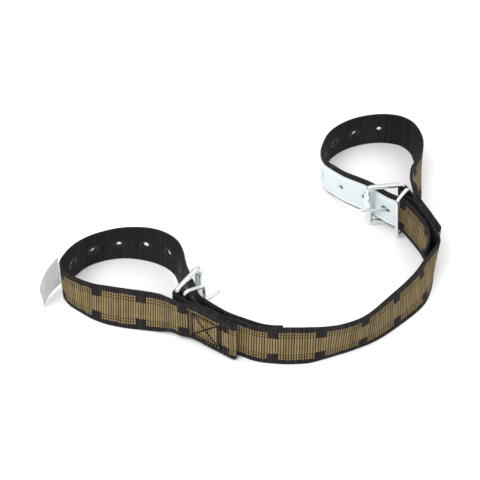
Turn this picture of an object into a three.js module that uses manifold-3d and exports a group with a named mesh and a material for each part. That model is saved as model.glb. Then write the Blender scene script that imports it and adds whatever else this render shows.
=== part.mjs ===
// Double-cuff buckle strap: one length of woven webbing with a buckled cuff at each end.
// Millimetres, +Z up. The strap stands on its lower edge on the plane z = 0.
// X runs from the left cuff to the right cuff, Y from the front of the strap to the back.

import * as THREE from "three";
import { mergeVertices } from "three/addons/utils/BufferGeometryUtils.js";
import Module from "manifold-3d";

const wasm = await Module();
wasm.setup();

// ---- Driving dimensions -------------------------------------------------------------------

const WEB_WIDTH = 40;
const WEB_THICKNESS = 2.1;
const WRAP_RADIUS = 3.65; // middle of the webbing around the crossbar
const FOLD_RADIUS = 1.3; // middle of the webbing at the sewn fold
const LAYER_PITCH = 2 * FOLD_RADIUS;

const HOLE_COUNT = 8;
const HOLE_RADIUS = 2.8;
const PULLED_HOLE_HALF_LENGTH = 5.4; // the hole in use is drawn out along the strap

const LEATHER_THICKNESS = 1.8;
const LEATHER_BOTTOM = 2.9;
const LEATHER_TOP = 34.8;
const LEATHER_PAST_FIRST_HOLE = 14;
const LEATHER_PAST_LAST_HOLE = 15;

const SEAM_WIDTH = 0.9;
const SEAM_THICKNESS = 0.5;
const SEAM_INSET = 2.4;
const SKIN_GAP = 0.3;

const WIRE_RADIUS = 2.4; // buckle frame
const FRAME_LENGTH = 33; // crossbar centre to roller centre
const FRAME_HEIGHT = 46.6; // side bar centre to side bar centre
const CROSSBAR_CORNER = 3;
const ROLLER_CORNER = 4.5;
const ROLLER_BORE = 2.65;
const ROLLER_OUTER = 3.6;
const ROLLER_LENGTH = 35;
const TONGUE_RADIUS = 1.75;
const TONGUE_EYE_BORE = 2.65;
const TONGUE_EYE_OUTER = 5.2;
const TONGUE_EYE_WIDTH = 4.2;
const EYE_SLOT = 8; // gap in the wrapped webbing where the tongue's eye sits
const EYE_SLOT_RADIUS = 7.2;

const KEEPER_WIRE = 1.85;
const KEEPER_HEIGHT = 47.8;
const KEEPER_CORNER = 5;
const KEEPER_LEAN = 0.75; // share of the crossbar's lean

const BOX_AFTER_ROW = 2;
const BOX_LENGTH = 26.5;
const BOX_LOW = 6.5;
const BOX_HIGH = 32;
const BOX_LINE_BEFORE = 3.6; // the cross rows either side of the box
const BOX_LINE_AFTER = 2.4;
const BOX_LINE_OVER = 2;

const LABEL_CORNERS = {
  sewnTop: new THREE.Vector3(-163.3, -66, 37.5),
  sewnBottom: new THREE.Vector3(-163.3, -64.5, 4),
  freeTop: new THREE.Vector3(-176.5, -99.5, 30.5),
  freeBottom: new THREE.Vector3(-175.5, -92.5, 0.4),
};
const LABEL_THICKNESS = 0.5;
const LABEL_BULGE = 2.6;
const LABEL_OUTWARDS = new THREE.Vector3(-0.93, 0.37, 0);

const HINGE_GAP = 1.2;
const FLOOR_CENTRE = new THREE.Vector3(3.7, -1.8, -0.24); // moved to the origin at the end
const STATION_STEP = 7;
const ROUND_SIDES = 16;

// ---- The two buckle stacks ------------------------------------------------------------------
// Each stack has its own axes from the crossbar: "along" runs to the sewn fold and "out" runs
// to the side where the free end lies. lean is how far the top edge stands off the bottom edge.

const leftStack = {
  name: "left",
  origin: [-53.5, -120.5],
  heading: THREE.MathUtils.degToRad(-31.6),
  hand: 1,
  foldAt: 60,
  rise: 5.7,
  lean: [0, 0],
  flare: [3.7, 3, 0], // stand-off of the outer layer at 0, 8 and 17 along
  keeperNear: [7.7, -0.6], // along the stack, out of the stack
  keeperFar: [17.8, 14.4],
  keeperLift: 0.4, // of its middle above the webbing's middle
  frameAngle: THREE.MathUtils.degToRad(0),
  tongueAngle: THREE.MathUtils.degToRad(23),
  tongueRise: -4.5, // of its tip above the middle of the crossbar
  holePitch: 25.5,
};

const rightStack = {
  name: "right",
  origin: [155, 21.5],
  heading: THREE.MathUtils.degToRad(-67),
  hand: -1,
  foldAt: 57,
  rise: 9,
  lean: [-4, -4],
  flare: [7.1, 4.1, 0.9],
  keeperNear: [7.7, -0.6],
  keeperFar: [17.6, 15.7],
  keeperLift: 0.9,
  frameAngle: THREE.MathUtils.degToRad(-22),
  tongueAngle: THREE.MathUtils.degToRad(-7),
  tongueRise: 4.3,
  holePitch: 27.6,
};

// Plan position of a point given along and out of a stack.
function onStack(stack, along, out) {
  const ax = Math.cos(stack.heading);
  const ay = Math.sin(stack.heading);
  const ox = -ay * stack.hand;
  const oy = ax * stack.hand;
  return [
    stack.origin[0] + along * ax + out * ox,
    stack.origin[1] + along * ay + out * oy,
  ];
}

// A route row is [x, y, rise, leanX, leanY] at the middle of the webbing's height.
function stackRow(stack, along, out, rise, leanShare) {
  const [x, y] = onStack(stack, along, out);
  return [x, y, rise, stack.lean[0] * leanShare, stack.lean[1] * leanShare];
}

// Rows round a half turn, from angle start to angle end in the stack's own axes.
function turnRows(stack, centre, radius, start, end, rise, leanShare) {
  const rows = [];
  const count = 6;
  for (let i = 0; i <= count; i++) {
    const angle = THREE.MathUtils.degToRad(start + ((end - start) * i) / count);
    const along = centre[0] + radius * Math.cos(angle);
    const out = centre[1] + radius * Math.sin(angle);
    rows.push(stackRow(stack, along, out, rise, leanShare));
  }
  return rows;
}

// The sewn stack, walked from the cuff to the connecting strap: outer layer, fold, middle
// layer, turn round the crossbar, inner layer.
function stackRows(stack) {
  const drop = stack.rise - 1.6; // the stack settles towards the floor at its fold
  const riseAt = (along) => stack.rise - (drop * Math.min(along, 60)) / 60;
  const leanAt = (along) => Math.max(0, 1 - along / 30);
  const row = (along, out) => stackRow(stack, along, out, riseAt(along), leanAt(along));
  const outer = -WRAP_RADIUS - LAYER_PITCH;
  const foldOut = -WRAP_RADIUS - FOLD_RADIUS;
  return [
    row(0, outer - stack.flare[0]),
    row(8, outer - stack.flare[1]),
    row(17, outer - stack.flare[2]),
    row(36, outer),
    ...turnRows(stack, [stack.foldAt, foldOut], FOLD_RADIUS, -90, 90, riseAt(stack.foldAt), 0),
    row(36, -WRAP_RADIUS),
    row(17, -WRAP_RADIUS),
    row(7, -WRAP_RADIUS),
    ...turnRows(stack, [0, 0], WRAP_RADIUS, -90, -270, stack.rise, 1),
    row(11, WRAP_RADIUS - 1),
    row(20, -WRAP_RADIUS + LAYER_PITCH),
    row(36, -WRAP_RADIUS + LAYER_PITCH),
    row(46, -WRAP_RADIUS + LAYER_PITCH),
  ];
}

// The free end beside the stack, walked away from the crossbar.
function freeEndRows(stack) {
  const riseAt = (along) => stack.rise - ((stack.rise - 2) * along) / 60;
  const row = (along, out) => stackRow(stack, along, out, riseAt(along), Math.max(0, 0.5 - along / 60));
  return [row(16, 8), row(24, 6.3), row(36, 4.8), row(48, 4.2)];
}

// ---- The route of the webbing, from the left free end to the right free end --------------------

const leftFreeTip = [
  [36, -157.1, 0, 0.2, 3.4],
  [27, -156.8, 0.2, 0.2, 3],
  [17, -154.6, 0.6, 0, 2.4],
  [7.5, -150.6, 1.3, 0, 1.4],
];

const leftLoop = [
  [-45.5, -94, 4.8, 1, 1],
  [-50.5, -79, 4, 3, 1],
  [-53.5, -63.5, 3, 4, 1],
  [-58.6, -49.3, 1.7, 3.4, 1.9],
  [-68.2, -38, 0.7, 2, 2.4],
  [-80.8, -30.6, 0, 0.8, 1.8],
  [-95.8, -27.4, 0, 0, -1],
  [-110.2, -27.4, 0, 0, -3.6],
  [-124.6, -31, 0, 1.8, -5.2],
  [-139, -38.4, 0, 3.5, -4.6],
  [-149.4, -48.9, 0, 3, -2.1],
  [-156.6, -62.2, 0, 1.7, -0.6],
  [-159.6, -76.5, 0, 0, 0],
  [-153.4, -88.6, 0, -0.4, 0],
  [-142.4, -97.4, 0, 0.3, 1],
  [-128.8, -105.6, 0, 2, 3.6],
  [-115, -110.4, 0, 2.4, 6.9],
  [-101.2, -114, 0.2, 1.8, 7.9],
  [-86.8, -117.2, 0.8, 1.5, 7.6],
  [-71.4, -121.5, 2, 1.8, 6],
];

const connecting = [
  [-1, -150.8, 1.2, 0.9, 1.8],
  [13.5, -156.9, 0.3, 0.7, 2.3],
  [28.5, -159.2, 0, 0.3, 3.1],
  [43.3, -159.7, 0, 0, 3.8],
  [58, -159, 0, 0, 2.8],
  [72.5, -156.2, 0, 0.6, -1.4],
  [87, -151.6, 0, 1.7, -3.9],
  [100.2, -145.7, 0, 1.7, -3.7],
  [112.6, -137.6, 0, 0.4, -0.7],
  [123.8, -127.8, 0, -1.8, 2.3],
  [134.8, -116.9, 0, -3.3, 3.7],
  [144.9, -106.5, 0, -4.4, 4.6],
  [154.7, -95.4, 0, -6, 5.3],
  [163, -83.7, 0, -7.7, 4.8],
  [169.4, -70.4, 0, -7, 2],
  [175.6, -57, 0.4, -1.6, 0],
  [179.4, -45, 1, 2.6, -1],
];

const rightLoop = [
  [168.2, 37, 5, -11, 0],
  [169.8, 48, 3.6, -12, 0],
  [172.4, 60, 2.6, -12, 0],
  [176.4, 73, 1.8, -7, 0],
  [179.6, 86, 1.2, -2, 0],
  [180.6, 98, 0.8, 1, 0],
  [180.6, 111, 0.4, 2.4, -0.6],
  [179.4, 124, 0.2, 1, -1],
  [175.4, 138, 0, -1.4, -1.7],
  [165.4, 148.8, 0, -2.4, -4.3],
  [149.6, 152.9, 0, -0.3, -5.4],
  [134.2, 151.7, 0, 1.1, -5.3],
  [119.2, 146.8, 0, 2.2, -4.5],
  [107.6, 140, 0, 2.6, -3.4],
  [95.6, 128.8, 0, 2.4, -1.8],
  [88.6, 117, 0, 0.6, -0.1],
  [84.6, 102.3, 0, -2.4, 1],
  [82.4, 87.8, 0, -4, 0.2],
  [85.4, 74.4, 0.2, -4, -2.3],
  [93.5, 63.2, 1.2, -4, -2],
  [102.4, 52, 2.8, -2.9, -2.8],
  [114, 42, 4.2, -2.3, -2.3],
  [125.4, 31.6, 5.8, -2, -2],
];

const rightFreeTip = [
  [172.6, -38, 2.2, -1, 0],
  [171.6, -50, 1.4, -3.4, 0.4],
  [168.2, -62, 0.8, -6, 1],
];

const leftHoleRow = stackRow(leftStack, 8.2, 14.6, 5.7, 0);
const rightHoleRow = stackRow(rightStack, -0.4, 16.4, 7.2, 0.6);

const leftStackRoute = stackRows(leftStack);
const rightStackRoute = stackRows(rightStack).reverse();
const rows = [
  ...leftFreeTip,
  ...freeEndRows(leftStack).reverse(),
  leftHoleRow,
  ...leftLoop,
  ...leftStackRoute,
  ...connecting,
  ...rightStackRoute,
  ...rightLoop,
  rightHoleRow,
  ...freeEndRows(rightStack),
  ...rightFreeTip,
];

// Stations along the route: middle point, lean and distance from the left free end.
function makeStations(routeRows) {
  const line = new THREE.CatmullRomCurve3(
    routeRows.map((row) => new THREE.Vector3(row[0], row[1], row[2])),
    false,
    "centripetal",
  );
  const tilt = new THREE.CatmullRomCurve3(
    routeRows.map((row) => new THREE.Vector3(row[3], row[4], 0)),
    false,
    "centripetal",
  );
  const stations = [];
  const spans = routeRows.length - 1;
  let distance = 0;
  for (let span = 0; span < spans; span++) {
    const [x0, y0] = routeRows[span];
    const [x1, y1] = routeRows[span + 1];
    const steps = Math.max(1, Math.round(Math.hypot(x1 - x0, y1 - y0) / STATION_STEP));
    for (let step = span === 0 ? 0 : 1; step <= steps; step++) {
      const t = (span + step / steps) / spans;
      const point = line.getPoint(t);
      const last = stations[stations.length - 1];
      if (last) distance += Math.hypot(point.x - last.point.x, point.y - last.point.y);
      stations.push({ point, tilt: tilt.getPoint(t), distance, row: span + step / steps });
    }
  }
  return stations;
}

const stations = makeStations(rows);
const routeLength = stations[stations.length - 1].distance;

// Distance along the route at one of its rows.
function distanceAtRow(row) {
  const index = rows.indexOf(row);
  return stations.find((station) => Math.abs(station.row - index) < 1e-6).distance;
}

// Point, lean and tangent at a distance along the route.
function frameAt(distance) {
  const d = THREE.MathUtils.clamp(distance, 0, routeLength);
  let i = stations.findIndex((station) => station.distance >= d);
  i = Math.max(1, i);
  const a = stations[i - 1];
  const b = stations[i];
  const t = (d - a.distance) / (b.distance - a.distance);
  const middle = a.point.clone().lerp(b.point, t);
  const lean = a.tilt.clone().lerp(b.tilt, t);
  const before = stations[Math.max(0, t < 0.5 ? i - 2 : i - 1)].point;
  const after = stations[Math.min(stations.length - 1, t < 0.5 ? i : i + 1)].point;
  const tangent = after.clone().sub(before).setZ(0).normalize();
  const up = new THREE.Vector3(lean.x, lean.y, WEB_WIDTH).normalize();
  const face = tangent.clone().cross(up).normalize();
  const foot = middle.clone().addScaledVector(lean, -0.5);
  return { foot, up, face, tangent, lean };
}

// A point on the webbing: distance along it, height up its width, and stand-off from its
// middle towards the patterned face.
function onWebbing(distance, height, standOff) {
  const { foot, lean, face } = frameAt(distance);
  const share = height / WEB_WIDTH;
  const point = foot.clone();
  point.x += lean.x * share;
  point.y += lean.y * share;
  point.z += height;
  return point.addScaledVector(face, standOff);
}

// ---- Solids ---------------------------------------------------------------------------------

function toManifold(geometry) {
  const bare = geometry.clone();
  bare.deleteAttribute("normal");
  bare.deleteAttribute("uv");
  const merged = mergeVertices(bare, 1e-5);
  const mesh = new wasm.Mesh({
    numProp: 3,
    vertProperties: new Float32Array(merged.attributes.position.array),
    triVerts: new Uint32Array(merged.index.array),
  });
  return new wasm.Manifold(mesh);
}

function toGeometry(solid) {
  const mesh = solid.getMesh();
  const geometry = new THREE.BufferGeometry();
  geometry.setAttribute("position", new THREE.BufferAttribute(new Float32Array(mesh.vertProperties), 3));
  geometry.setIndex(new THREE.BufferAttribute(new Uint32Array(mesh.triVerts), 1));
  geometry.computeVertexNormals();
  return geometry;
}

// A box bent along the webbing's route; climb is how much higher it sits at its far end.
function ribbon(from, to, bottom, top, standOff, thickness, climb = 0) {
  const inner = stations
    .map((station) => station.distance)
    .filter((d) => d > from + 0.4 && d < to - 0.4);
  const marks = [from, ...inner, to];
  const segments = marks.length - 1;
  const geometry = new THREE.BoxGeometry(1, 1, 1, segments, 1, 1);
  const position = geometry.attributes.position;
  for (let i = 0; i < position.count; i++) {
    const mark = marks[Math.round((position.getX(i) + 0.5) * segments)];
    const off = standOff - position.getY(i) * thickness;
    const climbed = (climb * (mark - from)) / (to - from);
    const height = bottom + (position.getZ(i) + 0.5) * (top - bottom) + climbed;
    position.setXYZ(i, ...onWebbing(mark, height, off).toArray());
  }
  flipDiagonals(geometry, geometry.groups[2]);
  return geometry;
}

// Makes one broad face split along the same diagonals as the other, so that layers that
// follow the same route stay parallel where the webbing twists.
function flipDiagonals(geometry, group) {
  const index = geometry.index;
  for (let i = group.start; i < group.start + group.count; i += 6) {
    const [a, b, d, , c] = Array.from({ length: 6 }, (_, k) => index.getX(i + k));
    [a, b, c, a, c, d].forEach((vertex, k) => index.setX(i + k, vertex));
  }
}

// A bar through the webbing, for cutting a hole; its section is oval along the strap.
function holeCutter(distance, halfLength) {
  const { face, up } = frameAt(distance);
  const along = up.clone().cross(face).normalize();
  const bar = new THREE.CylinderGeometry(HOLE_RADIUS, HOLE_RADIUS, 16, ROUND_SIDES);
  bar.scale(halfLength / HOLE_RADIUS, 1, 1);
  const turn = new THREE.Matrix4().makeBasis(along, face, along.clone().cross(face));
  turn.setPosition(onWebbing(distance, WEB_WIDTH / 2, 0));
  return toManifold(bar.applyMatrix4(turn));
}

function cutHoles(geometry, distances) {
  let solid = toManifold(geometry);
  distances.forEach((distance, index) => {
    solid = solid.subtract(holeCutter(distance, index === 0 ? PULLED_HOLE_HALF_LENGTH : HOLE_RADIUS));
  });
  return solid;
}

// A round bar along a curve.
function wire(path, radius, steps, sides) {
  const section = new THREE.Shape();
  section.absarc(0, 0, radius, 0, Math.PI * 2, false);
  return new THREE.ExtrudeGeometry(section, {
    steps,
    curveSegments: sides / 2,
    extrudePath: path,
    bevelEnabled: false,
  });
}

// ---- Materials --------------------------------------------------------------------------------

const material = (color, roughness, metalness) =>
  new THREE.MeshStandardMaterial({ color, roughness, metalness, side: THREE.DoubleSide });

const webbingCloth = material(0x6f6443, 0.85, 0);
const chromeLeather = material(0xdce6e8, 0.6, 0);
const zincWire = material(0xd9dcdc, 0.3, 1);
const whiteThread = material(0xf2f2ee, 0.8, 0);
const darkThread = material(0x2c2722, 0.8, 0);
const satinLabel = material(0xe6e6e6, 0.5, 0);

const object = new THREE.Group();

function addMesh(name, geometry, finish, position, quaternion) {
  const mesh = new THREE.Mesh(geometry, finish);
  mesh.name = name;
  if (position) mesh.position.copy(position);
  if (quaternion) mesh.quaternion.copy(quaternion);
  mesh.position.sub(FLOOR_CENTRE);
  object.add(mesh);
}

// ---- Features along the route -----------------------------------------------------------------

const leftFirstHole = distanceAtRow(leftHoleRow);
const rightFirstHole = distanceAtRow(rightHoleRow);
const leftHinge = distanceAtRow(connecting[3]) + 6;
const middleHinge = distanceAtRow(connecting[9]) - 8;
const rightHinge = distanceAtRow(connecting[14]) - 8;

// The holes run from the one in use back round the cuff, away from the free end.
function holeDistances(first, pitch) {
  return Array.from({ length: HOLE_COUNT }, (_, i) => first + i * pitch);
}

const leftHoles = holeDistances(leftFirstHole, leftStack.holePitch);
const rightHoles = holeDistances(rightFirstHole, -rightStack.holePitch);

// ---- Buckle axes --------------------------------------------------------------------------------

// Axes at the middle of a stack's crossbar: up its length, out of the stack and along it.
function crossbarAxes(stack) {
  const up = new THREE.Vector3(stack.lean[0], stack.lean[1], WEB_WIDTH).normalize();
  const [x, y] = stack.origin;
  const [ox, oy] = onStack(stack, 0, 1);
  const origin = new THREE.Vector3(x, y, stack.rise + WEB_WIDTH / 2);
  const flat = new THREE.Vector3(ox - x, oy - y, 0);
  const out = flat.addScaledVector(up, -flat.dot(up)).normalize();
  const along = out.clone().cross(up).multiplyScalar(stack.hand);
  return { origin, up, out, along };
}

// Axes turned about the crossbar, so that "out" points at the given angle towards "along".
function turnedAxes(stack, angle) {
  const { origin, up, out, along } = crossbarAxes(stack);
  const reach = out.clone().multiplyScalar(Math.cos(angle)).addScaledVector(along, Math.sin(angle));
  const side = along.clone().multiplyScalar(Math.cos(angle)).addScaledVector(out, -Math.sin(angle));
  const at = (reachBy, sideBy, upBy) =>
    origin.clone().addScaledVector(reach, reachBy).addScaledVector(side, sideBy).addScaledVector(up, upBy);
  return { up, reach, side, at };
}

// A path round a rectangle with rounded corners, from the middle of its first side to just
// short of it again. at() places a point given across and up.
function roundedLoop(at, width, height, nearCorner, farCorner, gap) {
  const path = new THREE.CurvePath();
  const top = height / 2;
  const corners = [
    [[0, top - nearCorner], [0, top], [nearCorner, top]],
    [[width - farCorner, top], [width, top], [width, top - farCorner]],
    [[width, farCorner - top], [width, -top], [width - farCorner, -top]],
    [[nearCorner, -top], [0, -top], [0, nearCorner - top]],
  ];
  let last = at(0, gap / 2);
  for (const corner of corners) {
    const [start, bend, end] = corner.map(([x, z]) => at(x, z));
    path.add(new THREE.LineCurve3(last, start));
    path.add(new THREE.QuadraticBezierCurve3(start, bend, end));
    last = end;
  }
  path.add(new THREE.LineCurve3(last, at(0, -gap / 2)));
  return path;
}

// ---- Pieces ---------------------------------------------------------------------------------------

// A wire ring of one bent length, with its two ends butted in the middle of the crossbar.
function buckleFrame(stack) {
  const { at } = turnedAxes(stack, stack.frameAngle);
  const place = (reach, up) => at(reach, 0, up);
  const path = roundedLoop(place, FRAME_LENGTH, FRAME_HEIGHT, CROSSBAR_CORNER, ROLLER_CORNER, 0.6);
  return wire(path, WIRE_RADIUS, 56, 10);
}

function tubeProfile(bore, outer, length) {
  const half = length / 2;
  return [
    new THREE.Vector2(bore, -half),
    new THREE.Vector2(outer, -half),
    new THREE.Vector2(outer, half),
    new THREE.Vector2(bore, half),
    new THREE.Vector2(bore, -half),
  ];
}

// Turn that stands a lathe's own Y axis up a stack's crossbar.
function crossbarTurn(stack) {
  const { up } = crossbarAxes(stack);
  return new THREE.Quaternion().setFromUnitVectors(new THREE.Vector3(0, 1, 0), up);
}

function rollerTube() {
  return new THREE.LatheGeometry(tubeProfile(ROLLER_BORE, ROLLER_OUTER, ROLLER_LENGTH), ROUND_SIDES);
}

// The tongue: a wire bowed over the roller, with a flattened eye round the crossbar.
function tongue(stack) {
  const { at } = turnedAxes(stack, stack.tongueAngle);
  const bow = [
    [3.6, 0.2, 0],
    [12, 1.6, 0],
    [22, 2.3, 0.2],
    [33, 1.6, 0.65],
    [44, -1.2, 1],
  ];
  const line = new THREE.CatmullRomCurve3(
    bow.map(([reach, side, share]) => at(reach, side, share * stack.tongueRise)),
  );
  const shank = wire(line, TONGUE_RADIUS, 12, 10);
  const eye = new THREE.LatheGeometry(
    tubeProfile(TONGUE_EYE_BORE, TONGUE_EYE_OUTER, TONGUE_EYE_WIDTH),
    ROUND_SIDES,
  );
  eye.applyQuaternion(crossbarTurn(stack));
  eye.translate(...at(0, 0, 0).toArray());
  return toGeometry(toManifold(shank).add(toManifold(eye)));
}

// The keeper is a loose wire loop round the inner layers and the free end.
function keeper(stack) {
  const { origin, out, along } = crossbarAxes(stack);
  const [leanX, leanY] = stack.lean;
  const up = new THREE.Vector3(leanX * KEEPER_LEAN, leanY * KEEPER_LEAN, WEB_WIDTH).normalize();
  const place = ([a, o]) => origin.clone().addScaledVector(along, a).addScaledVector(out, o);
  const near = place(stack.keeperNear);
  const far = place(stack.keeperFar);
  const across = far.clone().sub(near);
  const depth = across.length();
  across.normalize();
  const at = (x, z) =>
    near.clone().addScaledVector(across, x).addScaledVector(up, z + stack.keeperLift);
  const path = roundedLoop(at, depth, KEEPER_HEIGHT, KEEPER_CORNER, KEEPER_CORNER, 0.6);
  return wire(path, KEEPER_WIRE, 44, 8);
}

// The slot in the wrapped webbing that lets the tongue's eye onto the crossbar.
function eyeSlot(stack) {
  const { at } = turnedAxes(stack, 0);
  const slot = new THREE.CylinderGeometry(EYE_SLOT_RADIUS, EYE_SLOT_RADIUS, EYE_SLOT, ROUND_SIDES);
  slot.applyQuaternion(crossbarTurn(stack));
  slot.translate(...at(0, 0, 0).toArray());
  return toManifold(slot);
}

function cuffWebbing(stack, from, to, holes) {
  const strip = ribbon(from, to, 0, WEB_WIDTH, 0, WEB_THICKNESS);
  return toGeometry(cutHoles(strip, holes).subtract(eyeSlot(stack)));
}

// The facing reaches past its first and last holes, whichever way they run along the route.
function leatherSpan(holes) {
  const direction = Math.sign(holes[1] - holes[0]);
  const a = holes[0] - direction * LEATHER_PAST_FIRST_HOLE;
  const b = holes.at(-1) + direction * LEATHER_PAST_LAST_HOLE;
  return [Math.min(a, b), Math.max(a, b)];
}

const leatherStandOff = WEB_THICKNESS / 2 + SKIN_GAP + LEATHER_THICKNESS / 2;

function leatherFacing(holes) {
  const [from, to] = leatherSpan(holes);
  const strip = ribbon(from, to, LEATHER_BOTTOM, LEATHER_TOP, leatherStandOff, LEATHER_THICKNESS);
  return toGeometry(cutHoles(strip, holes));
}

function leatherSeam(holes, height) {
  const [from, to] = leatherSpan(holes);
  const face = leatherStandOff + LEATHER_THICKNESS / 2 + SKIN_GAP + SEAM_THICKNESS / 2;
  const low = height - SEAM_WIDTH / 2;
  return ribbon(from + SEAM_INSET, to - SEAM_INSET, low, low + SEAM_WIDTH, face, SEAM_THICKNESS);
}

// One bar of stitching between two distances, its lower edge running from lowAtA to lowAtB.
function stitchBar(a, b, lowAtA, lowAtB, height) {
  const standOff = WEB_THICKNESS / 2 + SKIN_GAP + SEAM_THICKNESS / 2;
  const [from, to] = [Math.min(a, b), Math.max(a, b)];
  const [low, high] = a < b ? [lowAtA, lowAtB] : [lowAtB, lowAtA];
  return toManifold(ribbon(from, to, low, low + height, standOff, SEAM_THICKNESS, high - low));
}

// Box-and-cross stitching on the sewn stack's outer face, as one run of thread.
function boxStitch(start, direction) {
  const bar = (from, to, lowFrom, lowTo, height) =>
    stitchBar(start + direction * from, start + direction * to, lowFrom, lowTo, height);
  const boxHeight = BOX_HIGH - BOX_LOW + SEAM_WIDTH;
  const rowHeight = boxHeight + 2 * BOX_LINE_OVER;
  const rowLow = BOX_LOW - BOX_LINE_OVER;
  const end = BOX_LENGTH;
  const bars = [
    bar(0, end, BOX_LOW, BOX_LOW, SEAM_WIDTH),
    bar(0, end, BOX_HIGH, BOX_HIGH, SEAM_WIDTH),
    bar(0, SEAM_WIDTH, BOX_LOW, BOX_LOW, boxHeight),
    bar(end - SEAM_WIDTH, end, BOX_LOW, BOX_LOW, boxHeight),
    bar(0, end, BOX_LOW, BOX_HIGH, SEAM_WIDTH),
    bar(0, end, BOX_HIGH, BOX_LOW, SEAM_WIDTH),
    bar(-BOX_LINE_BEFORE, SEAM_WIDTH - BOX_LINE_BEFORE, rowLow, rowLow, rowHeight),
    bar(-BOX_LINE_BEFORE, SEAM_WIDTH, BOX_LOW, BOX_LOW, SEAM_WIDTH),
    bar(end + BOX_LINE_AFTER, end + BOX_LINE_AFTER + SEAM_WIDTH, rowLow, rowLow, rowHeight),
    bar(end - SEAM_WIDTH, end + BOX_LINE_AFTER + SEAM_WIDTH, BOX_LOW, BOX_LOW, SEAM_WIDTH),
  ];
  return toGeometry(bars.reduce((sum, next) => sum.add(next)));
}

// A satin tab sewn to the left cuff's outer face; its free edge hangs towards the floor.
function labelTab() {
  const corners = LABEL_CORNERS;
  const geometry = new THREE.BoxGeometry(1, 1, 1, 8, 1, 6);
  const position = geometry.attributes.position;
  for (let i = 0; i < position.count; i++) {
    const u = position.getX(i) + 0.5;
    const v = position.getZ(i) + 0.5;
    const sewn = corners.sewnBottom.clone().lerp(corners.sewnTop, v);
    const free = corners.freeBottom.clone().lerp(corners.freeTop, v);
    const point = sewn.lerp(free, u);
    const bulge = LABEL_BULGE * Math.sin(Math.PI * u);
    point.addScaledVector(LABEL_OUTWARDS, bulge - position.getY(i) * LABEL_THICKNESS);
    position.setXYZ(i, point.x, point.y, point.z);
  }
  return geometry;
}

// ---- Assembly -----------------------------------------------------------------------------------

const half = HINGE_GAP / 2;
const strapPiece = (from, to) => ribbon(from + half, to - half, 0, WEB_WIDTH, 0, WEB_THICKNESS);
addMesh("left_strap_half", strapPiece(leftHinge, middleHinge), webbingCloth);
addMesh("right_strap_half", strapPiece(middleHinge, rightHinge), webbingCloth);

const cuffs = [
  {
    stack: leftStack,
    span: [0, leftHinge - half],
    holes: leftHoles,
    boxStart: distanceAtRow(leftStackRoute[2]) + BOX_AFTER_ROW,
    boxWay: 1,
  },
  {
    stack: rightStack,
    span: [rightHinge + half, routeLength],
    holes: rightHoles,
    boxStart: distanceAtRow(rightStackRoute.at(-3)) - BOX_AFTER_ROW,
    boxWay: -1,
  },
];

for (const { stack, span, holes, boxStart, boxWay } of cuffs) {
  const side = stack.name;
  const seam = (height) => leatherSeam(holes, height);
  const rollerCentre = turnedAxes(stack, stack.frameAngle).at(FRAME_LENGTH, 0, 0);
  addMesh(`${side}_cuff_webbing`, cuffWebbing(stack, ...span, holes), webbingCloth);
  addMesh(`${side}_leather_facing`, leatherFacing(holes), chromeLeather);
  addMesh(`${side}_leather_seam_lower`, seam(LEATHER_BOTTOM + SEAM_INSET), whiteThread);
  addMesh(`${side}_leather_seam_upper`, seam(LEATHER_TOP - SEAM_INSET), whiteThread);
  addMesh(`${side}_box_stitch`, boxStitch(boxStart, boxWay), darkThread);
  addMesh(`${side}_buckle_frame`, buckleFrame(stack), zincWire);
  addMesh(`${side}_buckle_roller`, rollerTube(), zincWire, rollerCentre, crossbarTurn(stack));
  addMesh(`${side}_buckle_tongue`, tongue(stack), zincWire);
  addMesh(`${side}_keeper`, keeper(stack), zincWire);
}
addMesh("sewn_label", labelTab(), satinLabel);

export default object;
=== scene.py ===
"""Looks of the double-cuff webbing strap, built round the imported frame. Metres, +Z up."""

import math

import bmesh
import bpy
from mathutils import Matrix, Vector


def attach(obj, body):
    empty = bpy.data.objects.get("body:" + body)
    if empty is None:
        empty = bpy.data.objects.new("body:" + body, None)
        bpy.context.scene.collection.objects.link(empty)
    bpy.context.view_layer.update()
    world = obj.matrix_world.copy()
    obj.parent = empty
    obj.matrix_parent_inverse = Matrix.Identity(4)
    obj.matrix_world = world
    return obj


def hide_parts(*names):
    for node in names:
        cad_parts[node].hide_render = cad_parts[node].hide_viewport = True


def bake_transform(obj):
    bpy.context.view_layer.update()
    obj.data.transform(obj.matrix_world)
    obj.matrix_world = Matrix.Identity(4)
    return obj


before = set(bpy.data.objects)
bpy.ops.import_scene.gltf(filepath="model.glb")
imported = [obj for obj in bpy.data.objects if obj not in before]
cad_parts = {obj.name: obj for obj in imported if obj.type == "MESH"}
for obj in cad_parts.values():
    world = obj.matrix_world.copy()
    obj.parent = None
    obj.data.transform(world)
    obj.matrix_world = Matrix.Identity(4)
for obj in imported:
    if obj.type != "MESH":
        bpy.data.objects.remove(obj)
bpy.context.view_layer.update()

MM = 0.001

# ---- Sizes, in millimetres, as in the CAD ----

WEB_WIDTH = 40
WEB_THICKNESS = 2.1
WRAP_RADIUS = 3.65
FOLD_RADIUS = 1.3
LAYER_PITCH = 2 * FOLD_RADIUS
FLOOR_CENTRE = Vector((3.7, -1.8, -0.24))  # the route's own axes start here
STATION_STEP = 7

HOLE_COUNT = 8
HOLE_RADIUS = 2.8
PULLED_HOLE_HALF_LENGTH = 5.4

LEATHER_THICKNESS = 1.8
LEATHER_BOTTOM = 2.9
LEATHER_TOP = 34.8
LEATHER_PAST_FIRST_HOLE = 14
LEATHER_PAST_LAST_HOLE = 15
SEAM_INSET = 2.4

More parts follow.
